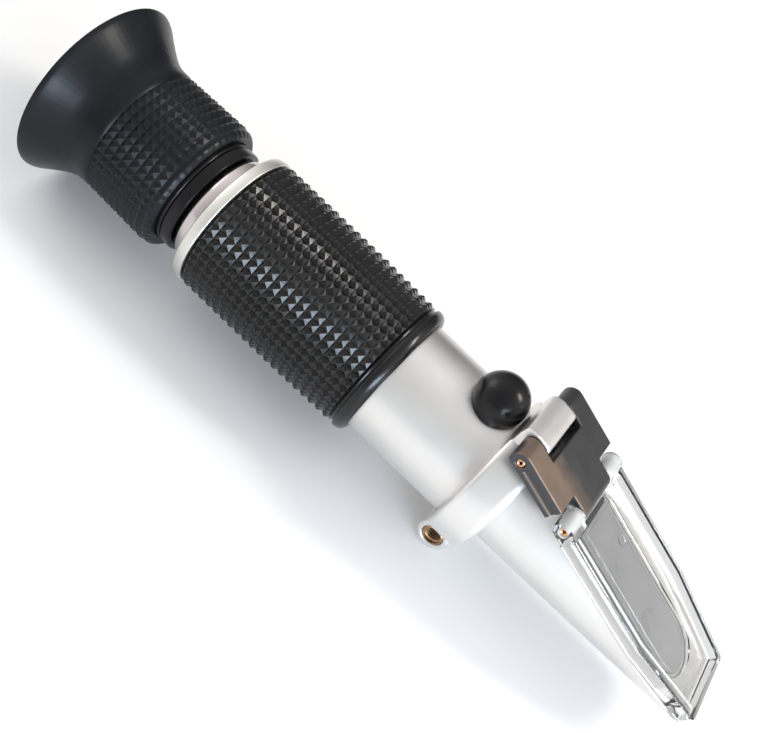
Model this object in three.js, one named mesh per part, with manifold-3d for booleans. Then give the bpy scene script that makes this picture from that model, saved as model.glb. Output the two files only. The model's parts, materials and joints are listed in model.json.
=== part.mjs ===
// Handheld refractometer: eyecup, focusing eyepiece, gripped barrel, calibration port,
// clamp collar with a two-pin hinge, slanted prism nose and clear daylight plate.
// Inside the instrument's group X runs along the optical axis from the eyecup's rim
// to the nose, Z = 0 is the optical axis and +Z is the side of the daylight plate.
import * as THREE from "three";
import { mergeVertices } from "three/addons/utils/BufferGeometryUtils.js";
import Module from "manifold-3d";

const wasm = await Module();
wasm.setup();

// ---- Driving dimensions, millimetres and radians ----
const FINE = 48; // sides of the large turned pieces
const MEDIUM = 24; // sides of the inner turned pieces
const SMALL = 16; // sides of pins, screws and bushes
const FIT = 0.15; // radial gap between nested pieces
const REST = 0.3; // gap between faces that rest on each other

const RIM_R = 20.3;
const SKIRT_R = 15.05;
const CUP_END = 29.7;
const CUP_FLOOR = 10.2;
const CUP_BORE_R = 9.4;
const RING_START = 12.2;
const RING_END = 33;
const RING_R = 12.4;

const NECK_R = 9.9;
const NECK_START = 19.5;
const DOME_START = 33.3;
const DOME_END = 36.5;
const DOME_R = 12.2;
const SHOULDER_REAR_R = 14.6;
const SHOULDER_R = 15.4;

const GRIP_START = 39.3;
const GRIP_END = 82.3;
const GRIP_R = 15.5;
const GROOVE_X = 79.3;
const BARREL_R = 12.92;
const BORE_R = 11.4;
const BARREL_END = 113.2;

const NOSE_R = 11.25;
const NOSE_TIP_R = 10.4;
const NOSE_TIP = 166.3;
const SPIGOT_START = 104.5;
const LIGHT_BORE_R = 8.4;

const COLLAR_START = 105.95;
const COLLAR_END = 113.6;
const COLLAR_R = 16;
const BOSS_HALF = 6.15;
const BOSS_TOP = 19.75;
const LUG_X = 109.25;
const LUG_Z = -17;
const LUG_R = 3.55;
const LUG_HALF = 8.1;
const INSERT_R = 2.3;
const THREAD_R = 1.6;
const SHANK_R = 1.42;

const CAP_X = 100;
const CAP_Z = 14.6;
const CAP_R = 5.45;

const REAR_PIN = { x: 109.64, z: 17.11 };
const FRONT_PIN = { x: 123.68, z: 12.33 };
const PIN_R = 0.82;
const PIN_HOLE_R = PIN_R + 0.12;
const PIN_HALF = 11.7;
const SLOPE = THREE.MathUtils.degToRad(20.2);

// In the sloped frame X runs down the slope from the front pin and Z is its normal.
const LINK_HALF = 11.8;
const LINK_TOP = 1.88;
const LINK_BOTTOM = -1.9;
const LINK_OPENING = -11;
const ARM_FRONT = -3.65;
const TONGUE_HALF = 6.15;
const TONGUE_NOSE_R = 1.88;
const PLATE_HALF = 12;
const PLATE_BOTTOM = -2.4;
const PLATE_FLOOR = -0.35;
const PLATE_TOP = 1.28;
const PLATE_TAPER = 26.5;
const PLATE_END = 45.45;
const PLATE_TIP_HALF = 9.05;
const WALL = 1.85;
const END_WALL = 1.35;
const PLATE_REAR = 2.5;
const PLATE_LUG_R = 2.1;
const PLATE_LUG_INNER = 6.45;
const PRISM_TOP = PLATE_BOTTOM - REST;
const NOSE_FACE = PRISM_TOP - 0.25;
const WINDOW_REAR = 4.7;
const WINDOW_HALF = 5.9;
const WINDOW_ARC_X = 33.6;
const RECESS = 0.3;
const PRISM_FLOOR_Z = -7;

// ---- Geometry helpers ----

// A body turned about X. The profile is [x, radius] points, along the outside and back.
function turned(profile, sides = FINE) {
  const points = profile.map(([x, r]) => new THREE.Vector2(r, x));
  const solidOnAxis = profile[0][1] === 0 && profile.at(-1)[1] === 0;
  if (!solidOnAxis) points.push(points[0].clone());
  return new THREE.LatheGeometry(points, sides).rotateZ(-Math.PI / 2);
}

// A body turned about a vertical axis at x. The profile is [z, radius] points.
function turnedUpright(profile, x, sides) {
  return turned(profile, sides).rotateY(-Math.PI / 2).translate(x, 0, 0);
}

// Points along a quarter arc, each made by a function of its sine and cosine.
function quarterArc(steps, pointAt) {
  const points = [];
  for (let i = 0; i <= steps; i++) {
    const turn = (i / steps) * (Math.PI / 2);
    points.push(pointAt(Math.sin(turn), Math.cos(turn)));
  }
  return points;
}

// A plain ring about X.
function ring(start, end, inner, outer, sides = MEDIUM) {
  return turned([[start, inner], [start, outer], [end, outer], [end, inner]], sides);
}

// A box from its low and high limits on each axis.
function block(x0, x1, y0, y1, z0, z1) {
  const box = new THREE.BoxGeometry(x1 - x0, y1 - y0, z1 - z0);
  return box.translate((x0 + x1) / 2, (y0 + y1) / 2, (z0 + z1) / 2);
}

// A round bar along Y.
function crossBar(radius, y0, y1, x, z, sides = SMALL) {
  const bar = new THREE.CylinderGeometry(radius, radius, y1 - y0, sides);
  return bar.translate(x, (y0 + y1) / 2, z);
}

// A round bar along Z.
function uprightBar(radius, z0, z1, x, sides = MEDIUM) {
  return turnedUpright([[z0, 0], [z0, radius], [z1, radius], [z1, 0]], x, sides);
}

// A round bar along X.
function axialBar(radius, x0, x1, sides = MEDIUM) {
  return turned([[x0, 0], [x0, radius], [x1, radius], [x1, 0]], sides);
}

// A side outline drawn in X and Z, extruded between two Y values.
function sideSlab(shape, y0, y1, curveSegments = 10) {
  const slab = new THREE.ExtrudeGeometry(shape, { depth: y1 - y0, bevelEnabled: false, curveSegments });
  return slab.rotateX(Math.PI / 2).translate(0, y1, 0);
}

// A plan outline drawn in X and Y, extruded between two Z values.
function planSlab(shape, z0, z1, curveSegments = 12) {
  const slab = new THREE.ExtrudeGeometry(shape, { depth: z1 - z0, bevelEnabled: false, curveSegments });
  return slab.translate(0, 0, z0);
}

// Moves geometry from the sloped frame into the instrument's frame.
function onSlope(geometry) {
  return geometry.rotateY(SLOPE).translate(FRONT_PIN.x, 0, FRONT_PIN.z);
}

function polygon(points) {
  return new THREE.Shape(points.map(([x, y]) => new THREE.Vector2(x, y)));
}

function solidOf(geometry) {
  const bare = geometry.index ? geometry.toNonIndexed() : geometry.clone();
  bare.deleteAttribute("normal");
  bare.deleteAttribute("uv");
  const merged = mergeVertices(bare, 1e-4);
  const corners = Array.from(merged.index.array);
  const kept = [];
  for (let i = 0; i < corners.length; i += 3) {
    const [a, b, c] = corners.slice(i, i + 3);
    if (a !== b && b !== c && c !== a) kept.push(a, b, c);
  }
  const vertProperties = merged.attributes.position.array;
  return new wasm.Manifold(new wasm.Mesh({ numProp: 3, vertProperties, triVerts: new Uint32Array(kept) }));
}

function geometryOf(solid) {
  const mesh = solid.getMesh();
  const geometry = new THREE.BufferGeometry();
  geometry.setAttribute("position", new THREE.BufferAttribute(new Float32Array(mesh.vertProperties), 3));
  geometry.setIndex(new THREE.BufferAttribute(new Uint32Array(mesh.triVerts), 1));
  geometry.computeVertexNormals();
  return geometry;
}

// The first shape with the others joined to it and the cuts taken out.
function joined(shapes, cuts = []) {
  let whole = solidOf(shapes[0]);
  for (const shape of shapes.slice(1)) whole = whole.add(solidOf(shape));
  for (const cut of cuts) whole = whole.subtract(solidOf(cut));
  return geometryOf(whole);
}

// ---- Materials ----
function finish(color, roughness, metalness) {
  return () => new THREE.MeshStandardMaterial({ color, roughness, metalness });
}
const rubber = finish(0x1a1a1c, 0.6, 0);
const glossBlack = finish(0x0c0c0e, 0.25, 0);
const satinSilver = finish(0xc9c9cb, 0.4, 0.6);
const polishedMetal = finish(0xd8cfd0, 0.15, 1);
const darkGrey = finish(0x4a4848, 0.45, 0.3);
const copper = finish(0xb8744a, 0.3, 1);
const brassMetal = finish(0xb59a5a, 0.35, 1);
const blackMetal = finish(0x222222, 0.6, 0.5);
const steel = finish(0xb8b8b8, 0.3, 1);
const paleSealant = finish(0xd2d4d2, 0.6, 0);
const glass = finish(0xdfe8ea, 0.05, 0);
const clearPlastic = finish(0xf2f4f4, 0.1, 0);

// ---- Scene graph ----
const instrument = new THREE.Group();
const slopedGroup = new THREE.Group();
slopedGroup.position.set(FRONT_PIN.x, 0, FRONT_PIN.z);
slopedGroup.rotation.y = SLOPE;
instrument.add(slopedGroup);

function place(name, geometry, material, group = instrument) {
  const mesh = new THREE.Mesh(geometry, material());
  mesh.name = name;
  group.add(mesh);
}

// ---- Eyecup and focusing ring ----
const flare = [[0, RIM_R], [3, 18.2], [7, 15.65], [11, 14.6]];
const cupInside = [[10, 12.9], [6, 14.85], [3, 16.95], [0, 19.3]];
const RING_SEAT_R = RING_R + FIT;
place(
  "eyecup",
  turned([
    ...flare,
    [20, SKIRT_R - 0.15],
    [27.5, SKIRT_R],
    [28.9, 14.7],
    [CUP_END, 13.9],
    [CUP_END, RING_SEAT_R],
    [RING_START - FIT, RING_SEAT_R],
    [RING_START - FIT, CUP_BORE_R],
    [CUP_FLOOR, CUP_BORE_R],
    ...cupInside,
  ], MEDIUM),
  rubber,
);
const RING_BORE_R = NECK_R + 0.2;
const EYE_HOLE_R = 7.6;
const RING_CHAMFER = 0.3;
const RING_LIP_END = RING_START + 1.1;
place(
  "focus_ring",
  turned([
    [RING_START, EYE_HOLE_R],
    [RING_START, RING_R],
    [RING_END - RING_CHAMFER, RING_R],
    [RING_END, RING_R - RING_CHAMFER],
    [RING_END, RING_BORE_R],
    [RING_LIP_END, RING_BORE_R],
    [RING_LIP_END, EYE_HOLE_R],
  ]),
  glossBlack,
);

// ---- Eyepiece lens carriage ----
const CELL_START = RING_START + 1.3;
const CELL_END = 31;
const CELL_R = 8.72;
const LENS_SEAT_R = 7.6;
const EYE_LENS_R = LENS_SEAT_R - FIT;
const CELL_EYE_R = 6.6;
const CELL_FLANGE_END = CELL_START + 1.3;
const CELL_SEAT_X = CELL_START + 1;
place(
  "lens_cell",
  turned([
    [CELL_START, CELL_EYE_R],
    [CELL_START, NECK_R - FIT],
    [CELL_FLANGE_END, NECK_R - FIT],
    [CELL_FLANGE_END, CELL_R],
    [CELL_END, CELL_R],
    [CELL_END, LENS_SEAT_R],
    [CELL_SEAT_X, LENS_SEAT_R],
    [CELL_SEAT_X, CELL_EYE_R],
  ], MEDIUM),
  blackMetal,
);

// A lens about X with an edge land and domed faces that stand out by the two sags.
function lens(start, end, radius, startSag, endSag) {
  const face = (edge, sag) => {
    const steps = sag === 0 ? 1 : 3;
    const points = [];
    for (let i = 0; i <= steps; i++) {
      const share = i / steps;
      points.push([edge + sag * (1 - share ** 2), radius * share]);
    }
    return points;
  };
  return turned([...face(start, -startSag), ...face(end, endSag).reverse()], MEDIUM);
}
const EYE_LENS_START = CELL_START + 1.3;
const EYE_LENS_END = EYE_LENS_START + 2.4;
const FIELD_LENS_START = 26;
const FIELD_LENS_END = 28;
const SPACER_BORE_R = 6.7;
const KEEPER_BORE_R = 6.4;
const KEEPER_START = FIELD_LENS_END + 0.4;
const KEEPER_END = CELL_END - 0.6;
place("eye_lens", lens(EYE_LENS_START, EYE_LENS_END, EYE_LENS_R, 0.8, 0.9), glass);
const SPACER_START = EYE_LENS_END + REST;
const SPACER_END = FIELD_LENS_START - 0.1;
place("lens_spacer", ring(SPACER_START, SPACER_END, SPACER_BORE_R, EYE_LENS_R), blackMetal);
place("field_lens", lens(FIELD_LENS_START, FIELD_LENS_END, EYE_LENS_R, 0, 1), glass);
place("eyepiece_retaining_ring", ring(KEEPER_START, KEEPER_END, KEEPER_BORE_R, EYE_LENS_R), brassMetal);

// ---- Eyepiece guide tube with its polished dome, and the shoulder ring ----
const DOME_FOOT_R = 10.9;
const domeArc = quarterArc(5, (across, along) => [
  DOME_END - (DOME_END - DOME_START) * along,
  DOME_FOOT_R + (DOME_R - DOME_FOOT_R) * across,
]);
const GUIDE_BORE_R = 8.95;
const GUIDE_END = 47;
place(
  "eyepiece_tube",
  turned([
    [NECK_START, GUIDE_BORE_R],
    [NECK_START, NECK_R],
    [DOME_START, NECK_R],
    ...domeArc,
    [DOME_END, BORE_R - FIT],
    [GUIDE_END, BORE_R - FIT],
    [GUIDE_END, GUIDE_BORE_R],
  ]),
  polishedMetal,
);
place(
  "shoulder_ring",
  turned([
    [DOME_END + 0.1, BORE_R],
    [DOME_END + 0.1, SHOULDER_REAR_R],
    [DOME_END + 0.5, SHOULDER_REAR_R + 0.35],
    [DOME_END + 1.3, SHOULDER_R],
    [GRIP_START - 0.1, SHOULDER_R],
    [GRIP_START - 0.1, BORE_R],
  ]),
  satinSilver,
);

// ---- Barrel and rubber grip ----
const PORT_R = 3;
place(
  "main_barrel",
  joined(
    [ring(GRIP_START + 0.1, BARREL_END, BORE_R, BARREL_R, FINE)],
    [uprightBar(PORT_R, 8, 16, CAP_X)],
  ),
  satinSilver,
);
const BEAD_R = 15.1;
const BEAD_LIP_R = 13.35;
const BEAD_START = 80.2;
const beadArc = quarterArc(4, (across, along) => [
  BEAD_START + (GRIP_END - BEAD_START) * across,
  BEAD_LIP_R + (BEAD_R - BEAD_LIP_R) * along,
]);
const GROOVE_R = 14.5;
const GROOVE_FLOOR_HALF = 0.3;
const GROOVE_HALF = 0.5;
place(
  "grip_sleeve",
  turned([
    [GRIP_START, BARREL_R + FIT],
    [GRIP_START, GRIP_R - 0.2],
    [GRIP_START + 0.3, GRIP_R],
    [66, GRIP_R],
    [GROOVE_X - GROOVE_HALF, 15.15],
    [GROOVE_X - GROOVE_FLOOR_HALF, GROOVE_R],
    [GROOVE_X + GROOVE_FLOOR_HALF, GROOVE_R],
    [GROOVE_X + GROOVE_HALF, BEAD_R],
    ...beadArc,
    [GRIP_END, BARREL_R + FIT],
  ]),
  rubber,
);

// ---- Reticle, baffle and objective, each in a ring that fits the bore ----
const INNER_FIT_R = BORE_R - FIT;

// A holder with a seat for a disc or lens, open towards the nose.
function seatedHolder(start, end, seatR, openR) {
  return turned([
    [start, openR],
    [start, INNER_FIT_R],
    [end, INNER_FIT_R],
    [end, seatR],
    [start + 1.2, seatR],
    [start + 1.2, openR],
  ], MEDIUM);
}
const SEAT_R = 9.6;
const DISC_R = SEAT_R - FIT;
const OPEN_R = 8;
const RETICLE_X = 56;
const OBJECTIVE_X = 78;
const BAFFLE_X = 68;
const BAFFLE_BORE_R = 6.2;
place("reticle_holder", seatedHolder(RETICLE_X, RETICLE_X + 5, SEAT_R, OPEN_R), blackMetal);
place("reticle_disc", lens(RETICLE_X + 1.3, RETICLE_X + 2.8, DISC_R, 0, 0), glass);
place("reticle_retaining_ring", ring(RETICLE_X + 2.9, RETICLE_X + 4.6, OPEN_R, DISC_R), brassMetal);
place("light_baffle", ring(BAFFLE_X, BAFFLE_X + 1.5, BAFFLE_BORE_R, INNER_FIT_R), blackMetal);
place("objective_cell", seatedHolder(OBJECTIVE_X, OBJECTIVE_X + 7, SEAT_R, OPEN_R), blackMetal);
place("objective_lens", lens(OBJECTIVE_X + 2, OBJECTIVE_X + 4.2, DISC_R, 0.7, 1), glass);
place("objective_retaining_ring", ring(OBJECTIVE_X + 4.6, OBJECTIVE_X + 6.6, OPEN_R, DISC_R), brassMetal);

// ---- Temperature compensator: a small lens on a bimetal strip, set by the calibration screw ----
const FRAME_START = 98.6;
const FRAME_END = 101.4;
const FRAME_R = 7;
const SMALL_LENS_R = 5.6;
const PAD_TOP = 9.9;
const PAD_HALF = 2.6;
place(
  "compensator_frame",
  joined([
    ring(FRAME_START, FRAME_END, SMALL_LENS_R + FIT, FRAME_R),
    block(FRAME_START, FRAME_END, -PAD_HALF, PAD_HALF, FRAME_R - 0.5, PAD_TOP),
  ]),
  blackMetal,
);
place("compensator_lens", lens(FRAME_START + 0.9, FRAME_END - 0.5, SMALL_LENS_R, 0.5, 0), glass);
const STRIP_START = 87.5;
const STRIP_HALF = 2.4;
const STRIP_BOTTOM = 8.6;
const STRIP_TOP = 9;
const STRIP_ROOM = 0.5;
const MOUNT_START = 86.4;
const MOUNT_END = 90.2;
const MOUNT_HALF = 3.4;
const MOUNT_BOTTOM = 7;
const MOUNT_TOP = 10.6;
place(
  "bimetal_strip",
  block(STRIP_START, FRAME_START - 0.1, -STRIP_HALF, STRIP_HALF, STRIP_BOTTOM, STRIP_TOP),
  steel,
);
place(
  "strip_mount",
  joined(
    [block(MOUNT_START, MOUNT_END, -MOUNT_HALF, MOUNT_HALF, MOUNT_BOTTOM, MOUNT_TOP)],
    [
      block(
        MOUNT_START - 1,
        MOUNT_END + 1,
        -STRIP_HALF - REST,
        STRIP_HALF + REST,
        STRIP_BOTTOM - STRIP_ROOM,
        STRIP_TOP + STRIP_ROOM,
      ),
    ],
  ),
  brassMetal,
);

// ---- Calibration port: bush, slotted screw and rubber cap ----
const BUSH_BORE_R = 1.6;
const BUSH_R = 4;
const BUSH_BOTTOM = 11.6;
const BUSH_FLANGE = 13.2;
const BUSH_TOP = 15.4;
place(
  "calibration_bush",
  turnedUpright([
    [BUSH_BOTTOM, BUSH_BORE_R],
    [BUSH_BOTTOM, PORT_R - FIT],
    [BUSH_FLANGE, PORT_R - FIT],
    [BUSH_FLANGE, BUSH_R],
    [BUSH_TOP, BUSH_R],
    [BUSH_TOP, BUSH_BORE_R],
  ], CAP_X, MEDIUM),
  brassMetal,
);
const SCREW_R = 1.42;
const SCREW_TOP = 14.9;
const SLOT_HALF = 0.25;
const SLOT_DEPTH = 0.9;
place(
  "calibration_screw",
  joined(
    [uprightBar(SCREW_R, PAD_TOP + FIT, SCREW_TOP, CAP_X, SMALL)],
    [block(CAP_X - 2, CAP_X + 2, -SLOT_HALF, SLOT_HALF, SCREW_TOP - SLOT_DEPTH, SCREW_TOP + 1)],
  ),
  brassMetal,
);
const capDome = quarterArc(7, (across, along) => [CAP_Z + CAP_R * across, CAP_R * along]);
capDome[capDome.length - 1][1] = 0;
const CAP_BASE_R = 5.2;
const CAP_BASE_TOP = CAP_Z - 1.6;
const CAP_CAVITY_R = 4.2;
const CAP_CAVITY_TOP = BUSH_TOP + 0.4;
const CAP_FOOT = 9;
const capOutside = [[CAP_FOOT, 0], [CAP_FOOT, CAP_BASE_R], [CAP_BASE_TOP, CAP_BASE_R], ...capDome];
place(
  "calibration_cap",
  joined(
    [turnedUpright(capOutside, CAP_X, MEDIUM)],
    [
      uprightBar(CAP_CAVITY_R, CAP_FOOT - 1, CAP_CAVITY_TOP, CAP_X),
      axialBar(BARREL_R + 0.2, CAP_X - 20, CAP_X + 20, FINE),
    ],
  ),
  glossBlack,
);

// ---- Nose housing, prism and seal ----

// The prism's outline in plan: straight at the back, round at the front, grown all round.
function windowOutline(grow) {
  const half = WINDOW_HALF + grow;
  const outline = new THREE.Shape();
  outline.moveTo(WINDOW_REAR - grow, -half);
  outline.lineTo(WINDOW_ARC_X, -half);
  outline.absarc(WINDOW_ARC_X, 0, half, -Math.PI / 2, Math.PI / 2, false);
  outline.lineTo(WINDOW_REAR - grow, half);
  outline.closePath();
  return outline;
}
// The nose narrows a little towards its tip.
const noseOutside = [[BARREL_END + 0.1, NOSE_R], [140, 10.95], [157, 10.65], [NOSE_TIP, NOSE_TIP_R]];
const O_RING_X = 107;
const O_RING_GROOVE_HALF = 0.7;
const O_RING_GROOVE_R = INNER_FIT_R - 1.1;
const spigot = [
  [SPIGOT_START, INNER_FIT_R],
  [O_RING_X - O_RING_GROOVE_HALF, INNER_FIT_R],
  [O_RING_X - O_RING_GROOVE_HALF, O_RING_GROOVE_R],
  [O_RING_X + O_RING_GROOVE_HALF, O_RING_GROOVE_R],
  [O_RING_X + O_RING_GROOVE_HALF, INNER_FIT_R],
];
const SEAL_TOP = NOSE_FACE - 0.3;
const SEAL_BOTTOM = SEAL_TOP - 1.2;
const SEAL_OUT = 0.85;
const BELOW = 20;
const ABOVE = 60; // a cutter's reach above and behind the nose
const PAST_TIP = 200;
const POCKET_START = 127;
const WIDE_BORE_END = 118;
const NARROW_BORE_R = 6.2;
const NARROW_BORE_END = 131;

// Everything beyond one X or below one Z, for trimming the pocket and the prism.
function behind(x) {
  return solidOf(block(x - ABOVE, x, -BELOW, BELOW, -ABOVE, ABOVE));
}
function under(z) {
  return solidOf(block(ABOVE, PAST_TIP, -BELOW, BELOW, z - ABOVE, z));
}
const pocket = solidOf(onSlope(planSlab(windowOutline(REST), -BELOW, 2)))
  .subtract(under(PRISM_FLOOR_Z - REST))
  .subtract(behind(POCKET_START));
const sealPocket = solidOf(onSlope(planSlab(windowOutline(SEAL_OUT + 0.1), SEAL_BOTTOM - 0.1, 2)));
const noseSolid = solidOf(turned([[SPIGOT_START, 0], ...spigot, ...noseOutside, [NOSE_TIP, 0]]))
  .subtract(solidOf(onSlope(block(-ABOVE, ABOVE, -BELOW, BELOW, NOSE_FACE, ABOVE))))
  .subtract(solidOf(axialBar(LIGHT_BORE_R, SPIGOT_START - 1, WIDE_BORE_END)))
  .subtract(solidOf(axialBar(NARROW_BORE_R, WIDE_BORE_END - 1, NARROW_BORE_END)))
  .subtract(pocket)
  .subtract(sealPocket);
place("nose_housing", geometryOf(noseSolid), satinSilver);

const PRISM_REAR_X = FRONT_PIN.x + WINDOW_REAR * Math.cos(SLOPE) + PRISM_TOP * Math.sin(SLOPE);
const prismSolid = solidOf(onSlope(planSlab(windowOutline(0), -BELOW, PRISM_TOP)))
  .subtract(under(PRISM_FLOOR_Z))
  .subtract(behind(PRISM_REAR_X));
place("main_prism", geometryOf(prismSolid), glass);

const sealOutline = windowOutline(SEAL_OUT);
sealOutline.holes.push(windowOutline(FIT));
place("prism_seal", planSlab(sealOutline, SEAL_BOTTOM, SEAL_TOP), paleSealant, slopedGroup);

const O_RING_R = 0.5;
const O_RING_CENTRE_R = BORE_R - 0.65;
const O_RING_SIDES = 8;
const oRing = [];
for (let i = 0; i < O_RING_SIDES; i++) {
  const turn = -(i / O_RING_SIDES) * 2 * Math.PI;
  oRing.push([O_RING_X + O_RING_R * Math.cos(turn), O_RING_CENTRE_R + O_RING_R * Math.sin(turn)]);
}
place("nose_o_ring", turned(oRing, MEDIUM), rubber);

// ---- Clamp collar with hinge boss and screw lug ----
const collarProfile = [
  [COLLAR_START, BARREL_R + FIT],
  [COLLAR_START, COLLAR_R - 0.6],
  [COLLAR_START + 0.6, COLLAR_R],
  [COLLAR_END - 1.1, COLLAR_R],
  [COLLAR_END - 0.3, COLLAR_R - 0.35],
  [COLLAR_END, COLLAR_R - 1.1],
  [COLLAR_END, BARREL_R + FIT],
];
const BOSS_REAR = 106.15;
const BOSS_FRONT = 112.4;
const BOSS_FOOT = 13.6;
const BOSS_STEP = 15.4;
const bossOutline = new THREE.Shape();
bossOutline.moveTo(BOSS_REAR, BOSS_FOOT);
bossOutline.lineTo(BOSS_REAR, BOSS_TOP - 1.4);
bossOutline.quadraticCurveTo(BOSS_REAR + 0.1, BOSS_TOP, BOSS_REAR + 1.5, BOSS_TOP);
bossOutline.lineTo(BOSS_FRONT - 0.7, BOSS_TOP - 0.55);
bossOutline.quadraticCurveTo(BOSS_FRONT, BOSS_TOP - 0.65, BOSS_FRONT, BOSS_TOP - 1.3);
bossOutline.lineTo(BOSS_FRONT - 0.3, BOSS_STEP);
bossOutline.lineTo(BOSS_FRONT - 0.8, BOSS_FOOT);
bossOutline.closePath();

// Room for the link's cross piece, which swings about the rear pin in front of the boss.
const SWING_R = 3.6;
const SWING_START = THREE.MathUtils.degToRad(-50);
const SWING_END = THREE.MathUtils.degToRad(60);
const SWING_ROOM_END = 118;
const SWING_ROOM_TOP = 22;
const SWING_ROOM_BOTTOM = 11.7;
const swingRoom = new THREE.Shape();
swingRoom.absarc(REAR_PIN.x, REAR_PIN.z, SWING_R, SWING_START, SWING_END, false);
swingRoom.lineTo(SWING_ROOM_END, SWING_ROOM_TOP);
swingRoom.lineTo(SWING_ROOM_END, SWING_ROOM_BOTTOM);
swingRoom.closePath();

// Room for one arm of the link, under its bottom face and round its rear end.
const ARM_ROOM_HALF = LINK_HALF + 0.4;
const LINK_END_R = LINK_TOP + 0.36;
function armRoom(y0, y1) {
  return [
    crossBar(LINK_END_R + 0.35, y0, y1, REAR_PIN.x, REAR_PIN.z, MEDIUM),
    onSlope(block(-14.8, 4, y0, y1, LINK_BOTTOM - 0.35, 8)),
  ];
}
const SPLIT_HALF = 0.6;
const COUNTERBORE_R = 2.65;
const COUNTERBORE_START = LUG_HALF - 2.7;
place(
  "clamp_collar",
  joined(
    [
      turned(collarProfile),
      sideSlab(bossOutline, -BOSS_HALF, BOSS_HALF, 4),
      crossBar(LUG_R, -LUG_HALF, LUG_HALF, LUG_X, LUG_Z, MEDIUM),
    ],
    [
      sideSlab(swingRoom, -BOSS_HALF - REST, BOSS_HALF + REST, 8),
      ...armRoom(-ARM_ROOM_HALF, -BOSS_HALF),
      ...armRoom(BOSS_HALF, ARM_ROOM_HALF),
      crossBar(PIN_HOLE_R, -BOSS_HALF - 1, BOSS_HALF + 1, REAR_PIN.x, REAR_PIN.z),
      block(COLLAR_START - 1, COLLAR_END + 1, -SPLIT_HALF, SPLIT_HALF, LUG_Z - LUG_R - 1, -BARREL_R + 1),
      crossBar(INSERT_R + 0.1, -LUG_HALF - 1, -SPLIT_HALF, LUG_X, LUG_Z),
      crossBar(SHANK_R + 0.3, -SPLIT_HALF, LUG_HALF + 1, LUG_X, LUG_Z),
      crossBar(COUNTERBORE_R, COUNTERBORE_START, LUG_HALF + 1, LUG_X, LUG_Z),
    ],
  ),
  satinSilver,
);

// A pipe along Y, with a bore.
function crossPipe(outer, inner, y0, y1, x, z) {
  return joined([crossBar(outer, y0, y1, x, z)], [crossBar(inner, y0 - 1, y1 + 1, x, z)]);
}
place(
  "thread_insert",
  crossPipe(INSERT_R, THREAD_R, -LUG_HALF + 0.1, -SPLIT_HALF - 0.3, LUG_X, LUG_Z),
  brassMetal,
);
const HEAD_R = 2.5;
const HEAD_BOTTOM = COUNTERBORE_START + 0.1;
const SOCKET_R = 1.3;
place(
  "clamp_screw",
  joined(
    [
      crossBar(HEAD_R, HEAD_BOTTOM, LUG_HALF - 0.2, LUG_X, LUG_Z),
      crossBar(SHANK_R, -3.4, HEAD_BOTTOM + 0.1, LUG_X, LUG_Z),
    ],
    [crossBar(SOCKET_R, LUG_HALF - 1.5, LUG_HALF + 1, LUG_X, LUG_Z, 6)],
  ),
  steel,
);
place("rear_hinge_pin", crossBar(PIN_R, -PIN_HALF, PIN_HALF, REAR_PIN.x, REAR_PIN.z), copper);

// ---- Hinge link, in the sloped frame ----
const REAR_PIN_LOCAL = {
  x: (REAR_PIN.x - FRONT_PIN.x) * Math.cos(SLOPE) - (REAR_PIN.z - FRONT_PIN.z) * Math.sin(SLOPE),
  z: (REAR_PIN.x - FRONT_PIN.x) * Math.sin(SLOPE) + (REAR_PIN.z - FRONT_PIN.z) * Math.cos(SLOPE),
};
const endR = LINK_TOP - REAR_PIN_LOCAL.z;
const rearBottomTurn = Math.PI + Math.asin((REAR_PIN_LOCAL.z - LINK_BOTTOM) / endR);
const linkOutline = new THREE.Shape();
linkOutline.moveTo(ARM_FRONT, LINK_BOTTOM);
linkOutline.lineTo(ARM_FRONT, LINK_TOP);
linkOutline.lineTo(REAR_PIN_LOCAL.x, LINK_TOP);
linkOutline.absarc(REAR_PIN_LOCAL.x, REAR_PIN_LOCAL.z, endR, Math.PI / 2, rearBottomTurn, false);
linkOutline.closePath();
const tongueOutline = new THREE.Shape();
tongueOutline.moveTo(LINK_OPENING, -TONGUE_NOSE_R);
tongueOutline.lineTo(0, -TONGUE_NOSE_R);
tongueOutline.absarc(0, 0, TONGUE_NOSE_R, -Math.PI / 2, Math.PI / 2, false);
tongueOutline.lineTo(LINK_OPENING, TONGUE_NOSE_R);
tongueOutline.closePath();
const OPENING_HALF = BOSS_HALF + 0.25;
const GROOVE_START = -13.2;
const GROOVE_INNER = LINK_HALF - 0.3;
const BEYOND = 13;
const grooves = [
  [-BEYOND, -GROOVE_INNER],
  [GROOVE_INNER, BEYOND],
].map(([y0, y1]) => block(GROOVE_START, ARM_FRONT + 1, y0, y1, -0.8, 0.5));

place(
  "hinge_link",
  joined(
    [
      sideSlab(linkOutline, -LINK_HALF, LINK_HALF),
      sideSlab(tongueOutline, -TONGUE_HALF, TONGUE_HALF, 8),
    ],
    [
      block(-30, LINK_OPENING, -OPENING_HALF, OPENING_HALF, -10, 10),
      crossBar(PIN_HOLE_R, -BEYOND, BEYOND, REAR_PIN_LOCAL.x, REAR_PIN_LOCAL.z),
      crossBar(PIN_HOLE_R, -BEYOND, BEYOND, 0, 0),
      ...grooves,
    ],
  ),
  darkGrey,
  slopedGroup,
);
place("front_hinge_pin", crossBar(PIN_R, -PIN_HALF, PIN_HALF, 0, 0), copper, slopedGroup);

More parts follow.
